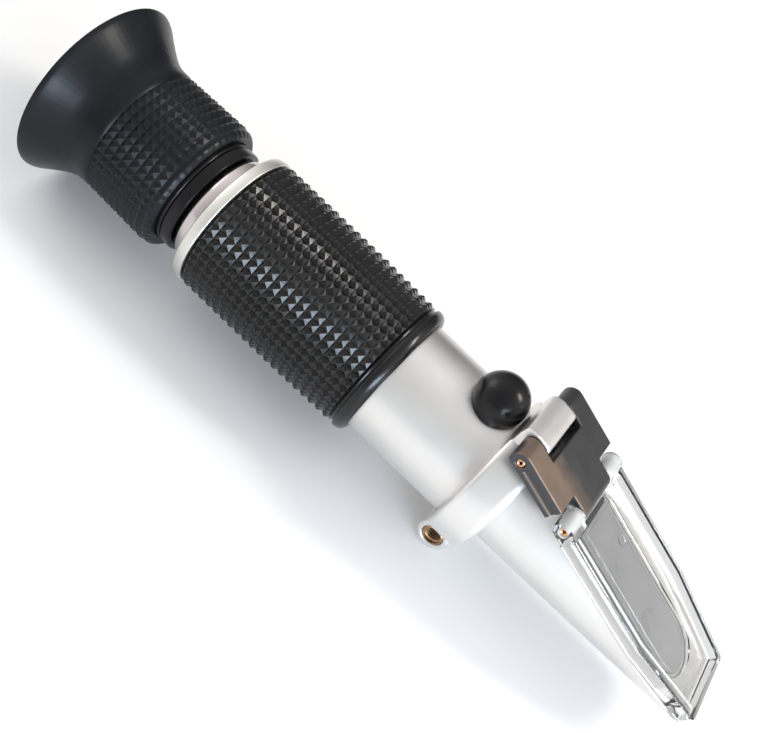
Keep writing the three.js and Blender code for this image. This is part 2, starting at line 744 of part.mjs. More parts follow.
// ---- Daylight plate, in the sloped frame ----
const OUTER_TIP = PLATE_END - 0.6;
function plateOutline(rear, half, taper, tip, tipHalf, end) {
  const side = [[rear, half], [taper, half], [tip, tipHalf], [end, tipHalf - 0.6]];
  const otherSide = side.map(([x, y]) => [x, -y]).reverse();
  return polygon([...otherSide, ...side]);
}
const plateBody = plateOutline(0, PLATE_HALF, PLATE_TAPER, OUTER_TIP, PLATE_TIP_HALF, PLATE_END);
const TRAY_END = PLATE_END - END_WALL;
const trayHollow = plateOutline(
  -5,
  PLATE_HALF - WALL,
  PLATE_TAPER - 0.4,
  TRAY_END - 0.4,
  PLATE_TIP_HALF - WALL,
  TRAY_END,
);
const LUG_BLOCK_END = 2.6;
const lugs = [-1, 1].flatMap((side) => {
  const [y0, y1] = side < 0 ? [-PLATE_HALF, -PLATE_LUG_INNER] : [PLATE_LUG_INNER, PLATE_HALF];
  return [
    crossBar(PLATE_LUG_R, y0, y1, 0, 0, MEDIUM),
    block(0, LUG_BLOCK_END, y0, y1, -PLATE_LUG_R, PLATE_TOP),
  ];
});
const tray = solidOf(planSlab(plateBody, PLATE_BOTTOM, PLATE_TOP))
  .subtract(solidOf(planSlab(trayHollow, PLATE_FLOOR, 5)))
  .subtract(solidOf(planSlab(windowOutline(0), PLATE_FLOOR - RECESS, 5)))
  .subtract(solidOf(block(-5, PLATE_REAR, -20, 20, -10, 10)));
let plateSolid = tray;
for (const lug of lugs) plateSolid = plateSolid.add(solidOf(lug));
plateSolid = plateSolid.subtract(solidOf(crossBar(PIN_HOLE_R, -BEYOND, BEYOND, 0, 0)));
place("daylight_plate", geometryOf(plateSolid), clearPlastic, slopedGroup);

// ---- The part's own frame: origin under the middle, on the surface that the instrument lies on ----
const LENGTH = FRONT_PIN.x + PLATE_END * Math.cos(SLOPE) + PLATE_TOP * Math.sin(SLOPE);
instrument.position.set(-LENGTH / 2, 0, LUG_R - LUG_Z);
const refractometer = new THREE.Group();
refractometer.add(instrument);

export default refractometer;
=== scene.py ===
"""Looks of the handheld refractometer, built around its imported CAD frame.

Shapes are made in millimetres in the instrument's own frame: X runs along the optical
axis from the eyecup's rim to the nose, and Z = 0 is on that axis.
"""

import json
import math

import bmesh
import bpy
from mathutils import Matrix, Vector

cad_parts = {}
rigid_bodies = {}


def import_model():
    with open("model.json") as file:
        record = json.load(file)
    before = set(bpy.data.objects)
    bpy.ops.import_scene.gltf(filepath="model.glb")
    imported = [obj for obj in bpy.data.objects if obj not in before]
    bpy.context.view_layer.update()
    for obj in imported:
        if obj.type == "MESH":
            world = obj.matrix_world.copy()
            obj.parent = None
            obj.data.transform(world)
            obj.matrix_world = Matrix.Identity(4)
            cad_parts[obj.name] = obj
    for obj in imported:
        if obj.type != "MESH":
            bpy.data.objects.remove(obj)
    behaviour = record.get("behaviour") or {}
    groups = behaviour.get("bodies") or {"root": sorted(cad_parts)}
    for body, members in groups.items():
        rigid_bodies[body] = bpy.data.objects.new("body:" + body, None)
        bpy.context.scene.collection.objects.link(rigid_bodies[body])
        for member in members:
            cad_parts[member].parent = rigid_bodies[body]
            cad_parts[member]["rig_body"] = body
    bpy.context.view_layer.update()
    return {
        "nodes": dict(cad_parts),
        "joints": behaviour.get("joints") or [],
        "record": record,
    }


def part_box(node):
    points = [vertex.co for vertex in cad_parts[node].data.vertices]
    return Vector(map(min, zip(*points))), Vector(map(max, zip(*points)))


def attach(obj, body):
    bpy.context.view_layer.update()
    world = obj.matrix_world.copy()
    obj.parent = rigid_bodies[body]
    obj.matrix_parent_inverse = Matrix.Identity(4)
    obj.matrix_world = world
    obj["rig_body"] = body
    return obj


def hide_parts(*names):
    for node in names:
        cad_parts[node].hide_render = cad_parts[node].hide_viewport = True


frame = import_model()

# ---- The instrument's frame, from the CAD model ----
MM = 0.001
RIM_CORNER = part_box("eyecup")[0]
BARREL_LOW, BARREL_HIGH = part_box("main_barrel")
AXIS_Z = (BARREL_LOW.z + BARREL_HIGH.z) / 2
TO_ROW = Matrix.Translation((RIM_CORNER.x, 0, AXIS_Z)) @ Matrix.Scale(MM, 4)
TO_INSTRUMENT = TO_ROW.inverted()
JOINTS = {joint["name"]: joint for joint in frame["joints"]}
SLOTS = {row["node"]: row["material_slot"] for row in frame["record"]["subparts"]}


def corners(node):
    """Low and high corner of a CAD node, in the instrument's frame."""
    low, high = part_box(node)
    return TO_INSTRUMENT @ low, TO_INSTRUMENT @ high


def pivot(joint):
    """Centre of a hinge, in the instrument's frame."""
    return TO_INSTRUMENT @ Vector(JOINTS[joint]["pos_m"])


REAR_PIN = pivot("link_hinge")
FRONT_PIN = pivot("plate_hinge")
SLOPE = math.radians(20.2)
UNTURNED = Matrix.Identity(4)
SLOPED = Matrix.Translation(FRONT_PIN) @ Matrix.Rotation(SLOPE, 4, "Y")

# ---- Driving dimensions, millimetres ----
SIDES = 196
FINE_SIDES = 64
CORNER_STEPS = 4
CURVE_STEPS = 5

EYECUP_HIGH = corners("eyecup")[1]
RIM_R = EYECUP_HIGH.z
CUP_END = EYECUP_HIGH.x
RING_LOW, RING_HIGH = corners("focus_ring")
GRIP_LOW, GRIP_HIGH = corners("grip_sleeve")
GRIP_R = GRIP_HIGH.z
BARREL_R = (BARREL_HIGH.z - BARREL_LOW.z) / 2 / MM
BORE_R = 11.4
FIT = 0.15
NECK_R = 9.9
COLLAR_START = corners("clamp_collar")[0].x
COLLAR_END = 113.6
COLLAR_R = 16
BOSS_HALF = 6.15
BOSS_REAR = 106.15
BOSS_FRONT = 112.4
BOSS_FOOT = 13.6
BOSS_TOP = 19.75
LUG_X = 109.25
LUG_Z = -17
LUG_R = 3.55
LUG_HALF = 8.1
SPLIT_HALF = 0.6
HINGE_ROOM_R = 3.6
ARM_ROOM_R = 2.59
INSERT_HOLE_R = 2.4
SCREW_HOLE_R = 1.72
HEAD_ROOM_R = 2.65
PIN_R = 0.82
PIN_HOLE_R = PIN_R + 0.12
CAP_X = 100
CAP_CENTRE_Z = 14.6
CAP_R = 5.45

LINK_HALF = 11.8
PAST_LINK = 13
LINK_TOP = 1.88
LINK_BOTTOM = -1.9
LINK_OPENING = -11
ARM_FRONT = -3.65
GROOVE_DEPTH = 0.3
TONGUE_HALF = 6.15
TONGUE_R = 1.88

PLATE_HALF = 12
PLATE_BOTTOM = -2.4
PLATE_FLOOR = -0.35
PLATE_TOP = 1.28
PLATE_TAPER = 26.5
PLATE_END = 45.45
PLATE_TIP_HALF = 9.05
PLATE_REAR = 2.5
PLATE_LUG_R = 2.1
PLATE_LUG_INNER = 6.45
WALL = 1.85
END_WALL = 1.35
PRISM_TOP = -2.7
NOSE_FACE = -2.95
WINDOW_REAR = 4.7
WINDOW_HALF = 5.9
WINDOW_ARC_X = 33.6
WINDOW_STEPS = 24
GATE_X = 12
GATE_Y = 2.65
GATE_R = 1.2


# ---- Mesh tools ----
def new_object(name, points, faces):
    """A mesh object from points in millimetres, with its faces turned outwards."""
    mesh = bpy.data.meshes.new(name)
    mesh.from_pydata([tuple(point) for point in points], [], faces)
    shell = bmesh.new()
    shell.from_mesh(mesh)
    bmesh.ops.remove_doubles(shell, verts=shell.verts, dist=1e-5)
    bmesh.ops.recalc_face_normals(shell, faces=shell.faces)
    shell.to_mesh(mesh)
    shell.free()
    made = bpy.data.objects.new(name, mesh)
    bpy.context.scene.collection.objects.link(made)
    return made


def softened(points, radius, closed=False):
    """The same outline with its corners rounded. Nearly straight corners stay as they are."""
    rounded = []
    count = len(points)
    for i, point in enumerate(points):
        here = Vector(point)
        at_end = i in (0, count - 1) and not closed
        before = Vector(points[i - 1]) - here
        after = Vector(points[(i + 1) % count]) - here
        too_short = before.length < 1e-6 or after.length < 1e-6
        if at_end or too_short or before.angle(after) > math.radians(165):
            rounded.append(tuple(here))
            continue
        start = here + before.normalized() * min(radius, before.length * 0.45)
        end = here + after.normalized() * min(radius, after.length * 0.45)
        for step in range(CORNER_STEPS + 1):
            t = step / CORNER_STEPS
            rounded.append(tuple((1 - t) ** 2 * start + 2 * t * (1 - t) * here + t * t * end))
    return rounded


def smooth_through(points):
    """A smooth curve through the points, which keeps its end points."""
    knots = [Vector(p) for p in points]
    knots = [2 * knots[0] - knots[1]] + knots + [2 * knots[-1] - knots[-2]]
    curve = []
    for a, b, c, d in zip(knots, knots[1:], knots[2:], knots[3:]):
        for step in range(CURVE_STEPS):
            t = step / CURVE_STEPS
            square = (2 * a - 5 * b + 4 * c - d) * t * t
            cube = (3 * b - a - 3 * c + d) * t ** 3
            bend = 2 * b + (c - a) * t + square + cube
            curve.append(tuple(bend / 2))
    return curve + [tuple(knots[-2])]


def arc(centre, radius, start, end, steps=12):
    """Points along an arc, with its angles in degrees."""
    turns = [math.radians(start + (end - start) * i / steps) for i in range(steps + 1)]
    return [(centre[0] + radius * math.cos(t), centre[1] + radius * math.sin(t)) for t in turns]


def ring_faces(first, second, count):
    """Quads between two rings of points, by the index of each ring's first point."""
    return [(first + j, first + (j + 1) % count, second + (j + 1) % count, second + j) for j in range(count)]


def upright(x):
    """Stands a turned shape upright at x, so that its own axis is Z."""
    return Matrix.Translation((x, 0, 0)) @ Matrix.Rotation(-math.pi / 2, 4, "Y")


def crosswise(x, z):
    """Lays a turned shape across the instrument, so that its own axis is Y."""
    return Matrix.Translation((x, 0, z)) @ Matrix.Rotation(math.pi / 2, 4, "Z")


def turned(name, profile, sides=SIDES, place=UNTURNED):
    """A turned shape. The profile is (x, radius) points, ending on the axis or closing on itself."""
    points, faces, starts = [], [], []
    for x, radius in profile:
        starts.append(len(points))
        for j in range(sides):
            turn = 2 * math.pi * j / sides
            points.append(place @ Vector((x, radius * math.cos(turn), radius * math.sin(turn))))
    on_axis = profile[0][1] < 1e-6
    pairs = list(zip(starts, starts[1:]))
    if not on_axis:
        pairs.append((starts[-1], starts[0]))
    for first, second in pairs:
        faces += ring_faces(first, second, sides)
    return cleaned(new_object(name, points, faces))


def cleaned(obj):
    """Drops the empty faces and edges that meet on an axis."""
    shell = bmesh.new()
    shell.from_mesh(obj.data)
    bmesh.ops.dissolve_degenerate(shell, dist=1e-5, edges=shell.edges)
    bmesh.ops.recalc_face_normals(shell, faces=shell.faces)
    shell.to_mesh(obj.data)
    shell.free()
    return obj


def slab(name, outline, low, high, across="Y", place=UNTURNED):
    """An outline extruded between two limits. Across Y it is drawn in X and Z, across Z in X and Y."""
    def corner(point, level):
        a, b = point
        return place @ Vector((a, level, b) if across == "Y" else (a, b, level))
    count = len(outline)
    points = [corner(p, low) for p in outline] + [corner(p, high) for p in outline]
    faces = ring_faces(0, count, count) + [tuple(range(count)), tuple(range(count, 2 * count))]
    return new_object(name, points, faces)


def box(name, x, y, z, place=UNTURNED):
    """A block from its limits on each axis."""
    outline = [(x[0], z[0]), (x[1], z[0]), (x[1], z[1]), (x[0], z[1])]
    return slab(name, outline, y[0], y[1], "Y", place)


def bar(name, radius, y, x, z, sides=FINE_SIDES, place=UNTURNED):
    """A round bar along Y."""
    profile = [(y[0], 0), (y[0], radius), (y[1], radius), (y[1], 0)]
    return turned(name, profile, sides, place @ crosswise(x, z))


def bake(obj):
    """Applies an object's modifiers to its mesh."""
    graph = bpy.context.evaluated_depsgraph_get()
    mesh = bpy.data.meshes.new_from_object(obj.evaluated_get(graph))
    obj.modifiers.clear()
    obj.data = mesh
    return obj


def combined(obj, tools, operation):
    """Joins the tools to an object, or cuts them out of it, one by one."""
    for tool in tools:
        modifier = obj.modifiers.new("shape", "BOOLEAN")
        modifier.solver = "EXACT"
        modifier.operation = operation
        modifier.object = tool
        bake(obj)
        bpy.data.objects.remove(tool)
    return obj


def bevelled(obj, width, segments=3, limit=35):
    """Rounds an object's sharp edges."""
    modifier = obj.modifiers.new("bevel", "BEVEL")
    modifier.width = width
    modifier.segments = segments
    modifier.limit_method = "ANGLE"
    modifier.angle_limit = math.radians(limit)
    return bake(obj)


def cast(obj, voxel, rounds):
    """Turns an object into one even skin with small fillets in and on its edges, as a casting has."""
    remesh = obj.modifiers.new("skin", "REMESH")
    remesh.mode = "VOXEL"
    remesh.voxel_size = voxel
    smooth = obj.modifiers.new("smooth", "SMOOTH")
    smooth.factor = 0.5
    smooth.iterations = rounds
    return bake(obj)


def finished(obj, node, material, sharp=30):
    """Puts a piece in the place of a CAD node, on its body and with the given material."""
    obj.data.transform(TO_ROW)
    obj.data.materials.clear()
    obj.data.materials.append(material)
    obj.data.shade_smooth()
    obj.data.set_sharp_from_angle(angle=math.radians(sharp))
    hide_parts(node)
    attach(obj, frame["nodes"][node]["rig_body"])
    return obj


# ---- Shader tools ----
def new_material(name, color, roughness, metallic=0.0, **inputs):
    """A material with its Principled shader set, and the node tree to add detail to."""
    material = bpy.data.materials.new(name)
    material.use_nodes = True
    shader = material.node_tree.nodes["Principled BSDF"]
    shader.inputs["Base Color"].default_value = (*color, 1)
    shader.inputs["Roughness"].default_value = roughness
    shader.inputs["Metallic"].default_value = metallic
    for key, value in inputs.items():
        shader.inputs[key.replace("_", " ")].default_value = value
    return material


def noise(tree, scale, detail=4.0, stretch=(1, 1, 1)):
    """A noise texture in object space, per millimetre, and its value."""
    nodes, links = tree.nodes, tree.links
    place = nodes.new("ShaderNodeTexCoord")
    mapping = nodes.new("ShaderNodeMapping")
    mapping.inputs["Scale"].default_value = [scale * s / MM for s in stretch]
    texture = nodes.new("ShaderNodeTexNoise")
    texture.inputs["Scale"].default_value = 1
    texture.inputs["Detail"].default_value = detail
    links.new(place.outputs["Object"], mapping.inputs["Vector"])
    links.new(mapping.outputs["Vector"], texture.inputs["Vector"])
    return texture.outputs["Fac"]


def ramp(tree, value, low, high, start=0.3, end=0.7):
    """A colour ramp between two colours or grey levels."""
    node = tree.nodes.new("ShaderNodeValToRGB")
    for stop, place, color in zip(node.color_ramp.elements, (start, end), (low, high)):
        stop.position = place
        stop.color = (*color, 1) if isinstance(color, tuple) else (color, color, color, 1)
    tree.links.new(value, node.inputs["Fac"])
    return node.outputs["Color"]


def bump(tree, value, strength, distance):
    """A bump from a value, its distance in millimetres, joined to the shader."""
    node = tree.nodes.new("ShaderNodeBump")
    node.inputs["Strength"].default_value = strength
    node.inputs["Distance"].default_value = distance * MM
    tree.links.new(value, node.inputs["Height"])
    tree.links.new(node.outputs["Normal"], tree.nodes["Principled BSDF"].inputs["Normal"])


def varied(material, roughness, grain, color=None, patch_scale=0.12, grain_scale=9.0, stretch=(1, 1, 1)):
    """Adds uneven roughness, fine grain as a bump of that depth, and if asked uneven colour."""
    tree = material.node_tree
    shader = tree.nodes["Principled BSDF"]
    patches = noise(tree, patch_scale, 5.0)
    tree.links.new(ramp(tree, patches, roughness[0], roughness[1]), shader.inputs["Roughness"])
    if color:
        tree.links.new(ramp(tree, patches, color[0], color[1]), shader.inputs["Base Color"])
    bump(tree, noise(tree, grain_scale, 3.0, stretch), 1.0, grain)
    return material


# ---- Materials ----
# Painted warm reflection on the hinge link: top-facing faces towards the near side are tinted brown.
SHEEN_PATCHES = 4
WARM_SHEEN_EDGE = -5
GREY_EDGE = 0
SIDE_GREY = 1.0


def cup_rubber():
    """Satin black rubber of the eyecup, a little bluish, with faint handling marks."""
    material = new_material("cup_rubber", (0.004, 0.005, 0.007), 0.3, Specular_IOR_Level=0.22)
    return varied(material, (0.26, 0.36), 0.003, ((0.003, 0.004, 0.006), (0.006, 0.007, 0.009)))


def grip_rubber():
    """Hard black rubber of the grip, with shiny facets."""
    material = new_material("grip_rubber", (0.004, 0.004, 0.004), 0.22, Specular_IOR_Level=0.36)
    return varied(material, (0.18, 0.26), 0.002, ((0.003, 0.003, 0.003), (0.006, 0.0055, 0.0055)))


def gloss_black():
    material = new_material("gloss_black", (0.004, 0.004, 0.005), 0.22, Specular_IOR_Level=0.26)
    return varied(material, (0.18, 0.28), 0.0015, ((0.003, 0.003, 0.004), (0.006, 0.0055, 0.006)))


def satin_silver():
    """Bead-blasted and anodised aluminium."""
    material = new_material("satin_silver", (0.77, 0.755, 0.735), 0.38, 1.0)
    return varied(material, (0.34, 0.42), 0.004, ((0.75, 0.735, 0.715), (0.79, 0.775, 0.755)), 0.06, 14.0)


def cream_metal():
    """Satin ring with a faint creamy tint."""
    material = new_material("cream_metal", (0.72, 0.71, 0.66), 0.4, 1.0)
    return varied(material, (0.36, 0.44), 0.003, ((0.7, 0.69, 0.64), (0.74, 0.73, 0.68)), 0.1, 12.0)


def polished_metal():
    """Polished and turned metal, with fine rings round the axis."""
    material = new_material("polished_metal", (0.58, 0.53, 0.52), 0.16, 1.0)
    return varied(material, (0.12, 0.2), 0.0015, None, 0.2, 6.0, (1, 0.05, 0.05))


def hinge_grey():
    """Dark grey plating, with a painted warm reflection on the top faces of the near arm."""
    material = new_material("hinge_grey", (0.1, 0.1, 0.1), 0.36, 0.9)
    varied(material, (0.32, 0.42), 0.004, None, 0.25, 9.0)
    tree = material.node_tree
    place = tree.nodes.new("ShaderNodeTexCoord")
    split = tree.nodes.new("ShaderNodeSeparateXYZ")
    uneven = tree.nodes.new("ShaderNodeMath")
    uneven.operation = "MULTIPLY_ADD"
    uneven.inputs[1].default_value = SHEEN_PATCHES * MM
    tree.links.new(place.outputs["Object"], split.inputs["Vector"])
    tree.links.new(noise(tree, 0.35, 4.0), uneven.inputs[0])
    tree.links.new(split.outputs["Y"], uneven.inputs[2])
    across = tree.nodes.new("ShaderNodeMapRange")
    across.inputs["From Min"].default_value = WARM_SHEEN_EDGE * MM
    across.inputs["From Max"].default_value = GREY_EDGE * MM
    tree.links.new(uneven.outputs["Value"], across.inputs["Value"])
    facing = tree.nodes.new("ShaderNodeSeparateXYZ")
    tree.links.new(place.outputs["Normal"], facing.inputs["Vector"])
    sides = tree.nodes.new("ShaderNodeMath")
    sides.operation = "MULTIPLY_ADD"
    sides.inputs[1].default_value = -SIDE_GREY
    sides.inputs[2].default_value = SIDE_GREY
    tree.links.new(facing.outputs["Z"], sides.inputs[0])
    grey = tree.nodes.new("ShaderNodeMath")
    grey.operation = "ADD"
    grey.use_clamp = True
    tree.links.new(across.outputs["Result"], grey.inputs[0])
    tree.links.new(sides.outputs["Value"], grey.inputs[1])
    # The warm brown end of this ramp is a painted reflection; the grey end is the plating's own colour.
    color = ramp(tree, grey.outputs["Value"], (0.26, 0.19, 0.15), (0.075, 0.075, 0.078), 0.0, 1.0)
    tree.links.new(color, tree.nodes["Principled BSDF"].inputs["Base Color"])
    return material


def copper_pin():
    material = new_material("copper_pin", (0.75, 0.42, 0.25), 0.22, 1.0)
    return varied(material, (0.16, 0.34), 0.003, ((0.62, 0.32, 0.18), (0.86, 0.52, 0.32)), 1.2, 12.0)


def aged_brass():
    """Darkened copper-brown brass of the threaded insert."""
    material = new_material("aged_brass", (0.4, 0.25, 0.14), 0.3, 1.0)
    return varied(material, (0.22, 0.4), 0.003, ((0.3, 0.18, 0.1), (0.52, 0.34, 0.2)), 0.8, 12.0)


def turned_brass():
    material = new_material("turned_brass", (0.72, 0.56, 0.28), 0.25, 1.0)
    return varied(material, (0.18, 0.36), 0.003, ((0.6, 0.44, 0.2), (0.8, 0.65, 0.36)), 0.8, 12.0)


def bright_steel():
    material = new_material("bright_steel", (0.62, 0.62, 0.64), 0.25, 1.0)
    return varied(material, (0.18, 0.34), 0.002, ((0.54, 0.54, 0.56), (0.68, 0.68, 0.7)), 0.6, 10.0)


def black_anodised():
    material = new_material("black_anodised", (0.02, 0.02, 0.021), 0.5, 0.4)
    return varied(material, (0.42, 0.58), 0.003, ((0.015, 0.015, 0.016), (0.028, 0.028, 0.03)), 0.4, 12.0)


def pale_sealant():
    """Off-white cement round the prism."""
    material = new_material("pale_sealant", (0.7, 0.71, 0.7), 0.45)
    return varied(material, (0.38, 0.55), 0.01, ((0.62, 0.63, 0.62), (0.76, 0.77, 0.76)), 0.5, 3.0)


def prism_glass():
    """Ground glass of the measuring face, which looks an even grey from above."""
    material = new_material("prism_glass", (0.46, 0.45, 0.455), 0.32, Coat_Weight=0.5, Coat_Roughness=0.08)
    return varied(material, (0.26, 0.4), 0.0015, ((0.42, 0.412, 0.418), (0.5, 0.49, 0.494)), 0.1, 12.0)


def lens_glass():
    """Coated lens, dark behind and faintly green and violet on top."""
    material = new_material("lens_glass", (0.03, 0.035, 0.05), 0.05, Coat_Weight=1.0, Coat_Roughness=0.02)
    return varied(material, (0.04, 0.07), 0.0002, ((0.02, 0.035, 0.05), (0.05, 0.03, 0.06)), 0.15, 2.0)


def clear_plastic():
    """Clear moulded acrylic with faint ripples from its mould."""
    inputs = {"Transmission_Weight": 1.0, "IOR": 1.49}
    material = new_material("clear_plastic", (0.93, 0.935, 0.93), 0.02, **inputs)
    return varied(material, (0.01, 0.04), 0.004, None, 0.3, 0.35)


def shaded_wall_plastic():
    """Side faces of the clear plate, tinted grey as painted shade for the dark bands that refraction gives
    them edge on.
    """
    inputs = {"Transmission_Weight": 1.0, "IOR": 1.49}
    material = new_material("shaded_wall_plastic", (0.5, 0.5, 0.49), 0.04, **inputs)
    return varied(material, (0.02, 0.07), 0.004, None, 0.3, 0.35)


def frosted_plastic():
    """The drilled pin holes of the clear plate, which are rough and look white."""
    material = new_material("frosted_plastic", (0.95, 0.94, 0.92), 0.6, IOR=1.49)
    return varied(material, (0.5, 0.7), 0.01, None, 0.8, 6.0)


# ---- Knurl: rows of small pyramids ----
GROOVE_SHARE = 0.015
TIP_SHARE = 0.485
STOPS = (GROOVE_SHARE, TIP_SHARE, 1 - TIP_SHARE, 1 - GROOVE_SHARE)


def tooth(share):
    """Height of a tooth, from 0 in the groove to 1 on its tip, at a place across it from 0 to 1."""
    rise = (min(share, 1 - share) - GROOVE_SHARE) / (TIP_SHARE - GROOVE_SHARE)
    return min(1, max(0, rise))


def split_by_ridge(points, quad):
    """A quad, or two triangles split along the ridge that runs to its odd corner."""
    heights = [math.hypot(points[i].y, points[i].z) for i in quad]
    middle = sorted(heights)[1:3]
    if max(heights) - min(heights) < 0.05 or middle[1] - middle[0] > 0.05:
        return [quad]
    odd = max(range(4), key=lambda i: abs(heights[i] - sum(middle) / 2))
    a, b, c, d = (quad[(odd + i) % 4] for i in range(4))
    return [(a, b, c), (a, c, d)]


def knurled(name, before, zone, after, columns):
    """A turned sleeve with a knurled zone: smooth profiles before and after it, both (x, radius) points.

    The zone is its start and end in x, the number of rows, the radius of the tips at any x,
    and the depth. Rings of the smooth profile after it keep a share of the grooves, if they say so."""
    start, end, rows, radius_at, depth = zone
    shares = [stop for _ in range(columns) for stop in STOPS]
    turns = [2 * math.pi * (column + stop) / columns for column in range(columns) for stop in STOPS]
    rings = [(x, [radius] * len(turns)) for x, radius in before]
    pitch = (end - start) / rows
    for row in range(rows):
        for stop in STOPS:
            x = start + (row + stop) * pitch
            drops = [depth * (1 - min(tooth(stop), tooth(share))) for share in shares]
            rings.append((x, [radius_at(x) - drop for drop in drops]))
    for x, radius, share_kept in after:
        rings.append((x, [radius - share_kept * depth * (1 - tooth(share)) for share in shares]))
    points = []
    for x, radii in rings:
        points += [Vector((x, r * math.cos(t), r * math.sin(t))) for r, t in zip(radii, turns)]
    faces = []
    count = len(turns)
    for i in range(len(rings)):
        quads = ring_faces(i * count, (i + 1) % len(rings) * count, count)
        in_zone = len(before) <= i < len(before) + rows * len(STOPS) - 1
        for quad in quads:
            faces += split_by_ridge(points, quad) if in_zone else [quad]
    return new_object(name, points, faces)


def plain(profile):
    """Profile points that keep none of the grooves."""
    return [(x, radius, 0) for x, radius in profile]


# ---- Eyecup and focusing ring ----
FLARE = [(0.6, 19.85), (1.2, 19.5), (3, 18.2), (5, 16.85), (7, 15.65), (9, 14.85), (11, 14.6)]
CUP_INSIDE = [(10, 12.9), (8, 13.75), (6, 14.85), (4, 16.1), (2, 17.65), (0.5, 18.95)]
SKIRT_START = 12.9
SKIRT_END = 27.85
RING_SEAT_R = RING_HIGH.z + FIT
CUP_BORE_R = 9.4
CUP_FLOOR = 10.2


def skirt_radius(x):
    return 14.62 + 0.43 * min(1, (x - 11) / 15)


def make_eyecup(material):
    lip = softened([(0.5, 18.95), (0, 19.3), (0, RIM_R - 0.15), (0.6, 19.85)], 0.3)
    before = lip + smooth_through(FLARE)[1:] + [(12, 14.62), (12.6, 14.4)]
    edge = [(28.1, 14.72, 0.3), (28.6, 14.74, 0.3), (28.95, 14.62, 0.35)]
    edge += [(29.35, 14.3, 0.4), (CUP_END, 13.9, 0.35)]
    seat = [(CUP_END, 13.4), (CUP_END - 0.2, RING_SEAT_R), (RING_LOW.x - FIT, RING_SEAT_R)]
    inside = [(RING_LOW.x - FIT, CUP_BORE_R), (CUP_FLOOR, CUP_BORE_R), (CUP_FLOOR, 12.75)]
    after = edge + plain(seat + inside) + plain(smooth_through(CUP_INSIDE)[1:-1])
    zone = (SKIRT_START, SKIRT_END, 8, skirt_radius, 0.52)
    finished(knurled("eyecup_visual", before, zone, after, 49), "eyecup", material)


def make_focus_ring(material):
    low, high, radius = RING_LOW.x, RING_HIGH.x, RING_HIGH.z
    profile = [
        (low, 7.6), (low, radius), (CUP_END + 0.35, radius), (CUP_END + 0.6, radius - 0.25),
        (CUP_END + 0.85, radius), (high, radius), (high, NECK_R + 0.2),
        (low + 1.1, NECK_R + 0.2), (low + 1.1, 7.6),
    ]
    finished(turned("focus_ring_visual", softened(profile, 0.35, True)), "focus_ring", material)


# ---- Eyepiece tube with its dome, and the shoulder ring ----
DOME_END = 36.4
DOME_LENGTH = 3.15
DOME_FOOT_R = 10.9
DOME_R = 12.15


def make_eyepiece_tube(material):
    low, high = corners("eyepiece_tube")
    dome = [(DOME_END - DOME_LENGTH * math.cos(t), DOME_FOOT_R + (DOME_R - DOME_FOOT_R) * math.sin(t))
            for t in (i * math.pi / 32 for i in range(17))]
    profile = [(low.x, 8.95), (low.x, NECK_R), (dome[0][0], NECK_R)] + dome
    profile += [(DOME_END, BORE_R - FIT), (high.x, BORE_R - FIT), (high.x, 8.95)]
    finished(turned("eyepiece_tube_visual", softened(profile, 0.2, True)), "eyepiece_tube", material)


def make_shoulder_ring(material):
    low, high = corners("shoulder_ring")
    profile = [
        (low.x + 0.1, BORE_R), (low.x + 0.1, 14.6), (low.x + 0.3, 15.0), (low.x + 0.8, 15.2),
        (low.x + 1.8, high.z), (high.x, high.z), (high.x, BORE_R),
    ]
    finished(turned("shoulder_ring_visual", softened(profile, 0.3, True)), "shoulder_ring", material)


# ---- Grip and barrel ----
GRIP_KNURL_END = 78.7


def grip_radius(x):
    """Radius over the knurl's tips: straight, then a slight taper towards the bead."""
    return GRIP_R - 0.03 - 0.35 * max(0, (x - 62) / 17) ** 1.5


def make_grip(material):
    inner = BARREL_R + FIT
    before = [(GRIP_LOW.x, inner), (GRIP_LOW.x, 14.95), (GRIP_LOW.x + 0.12, 15.05)]
    bead = [(80.2, 15.12)] + [(80.2 + 2.1 * math.sin(t), 13.35 + 1.77 * math.cos(t))
                              for t in (i * math.pi / 24 for i in range(1, 9))]
    lip = [(81.98, 14.0), (82.06, 13.86), (82.22, 13.84)]
    lip += [(GRIP_HIGH.x, 13.7), (GRIP_HIGH.x, 13.3), (GRIP_HIGH.x - 0.15, inner)]
    groove = [(78.85, 14.9), (79.05, 14.55), (79.3, 14.45)]
    groove += [(79.55, 14.55), (79.75, 14.95), (79.95, 15.08)]
    after = plain(groove + bead + lip)
    zone = (GRIP_LOW.x + 0.2, GRIP_KNURL_END, 20, grip_radius, 0.6)
    finished(knurled("grip_sleeve_visual", before, zone, after, 49), "grip_sleeve", material)


def make_barrel(material):
    low, high = corners("main_barrel")
    profile = softened([(low.x, BORE_R), (low.x, BARREL_R), (high.x, BARREL_R), (high.x, BORE_R)], 0.3, True)
    barrel = turned("main_barrel_visual", profile)
    port = turned("port", [(8, 0), (8, 3), (16, 3), (16, 0)], FINE_SIDES, upright(CAP_X))
    finished(combined(barrel, [port], "DIFFERENCE"), "main_barrel", material)


# ---- Calibration port and its cap ----
def make_cap(material):
    """A rubber ball on a short foot that sits on the barrel, hollow for the bush."""
    seat_r = BARREL_R + 0.2
    dome = [(CAP_CENTRE_Z + CAP_R * math.sin(t), CAP_R * math.cos(t))
            for t in (math.radians(a) for a in range(-16, 91, 5))]
    profile = [(9, 0), (9, 5.2), (CAP_CENTRE_Z - 1.7, 5.2)] + dome[:-1] + [(CAP_CENTRE_Z + CAP_R, 0)]
    cap = turned("calibration_cap_visual", profile, 128, upright(CAP_X))
    cavity_top = 15.8
    cavity = [(8, 0), (8, 4.2), (cavity_top - 0.4, 4.2), (cavity_top, 3.8), (cavity_top, 0)]
    hollow = turned("cap_hollow", cavity, FINE_SIDES, upright(CAP_X))
    seat = turned("cap_seat", [(80, 0), (80, seat_r), (120, seat_r), (120, 0)], SIDES)
    finished(combined(cap, [hollow, seat], "DIFFERENCE"), "calibration_cap", material, 40)


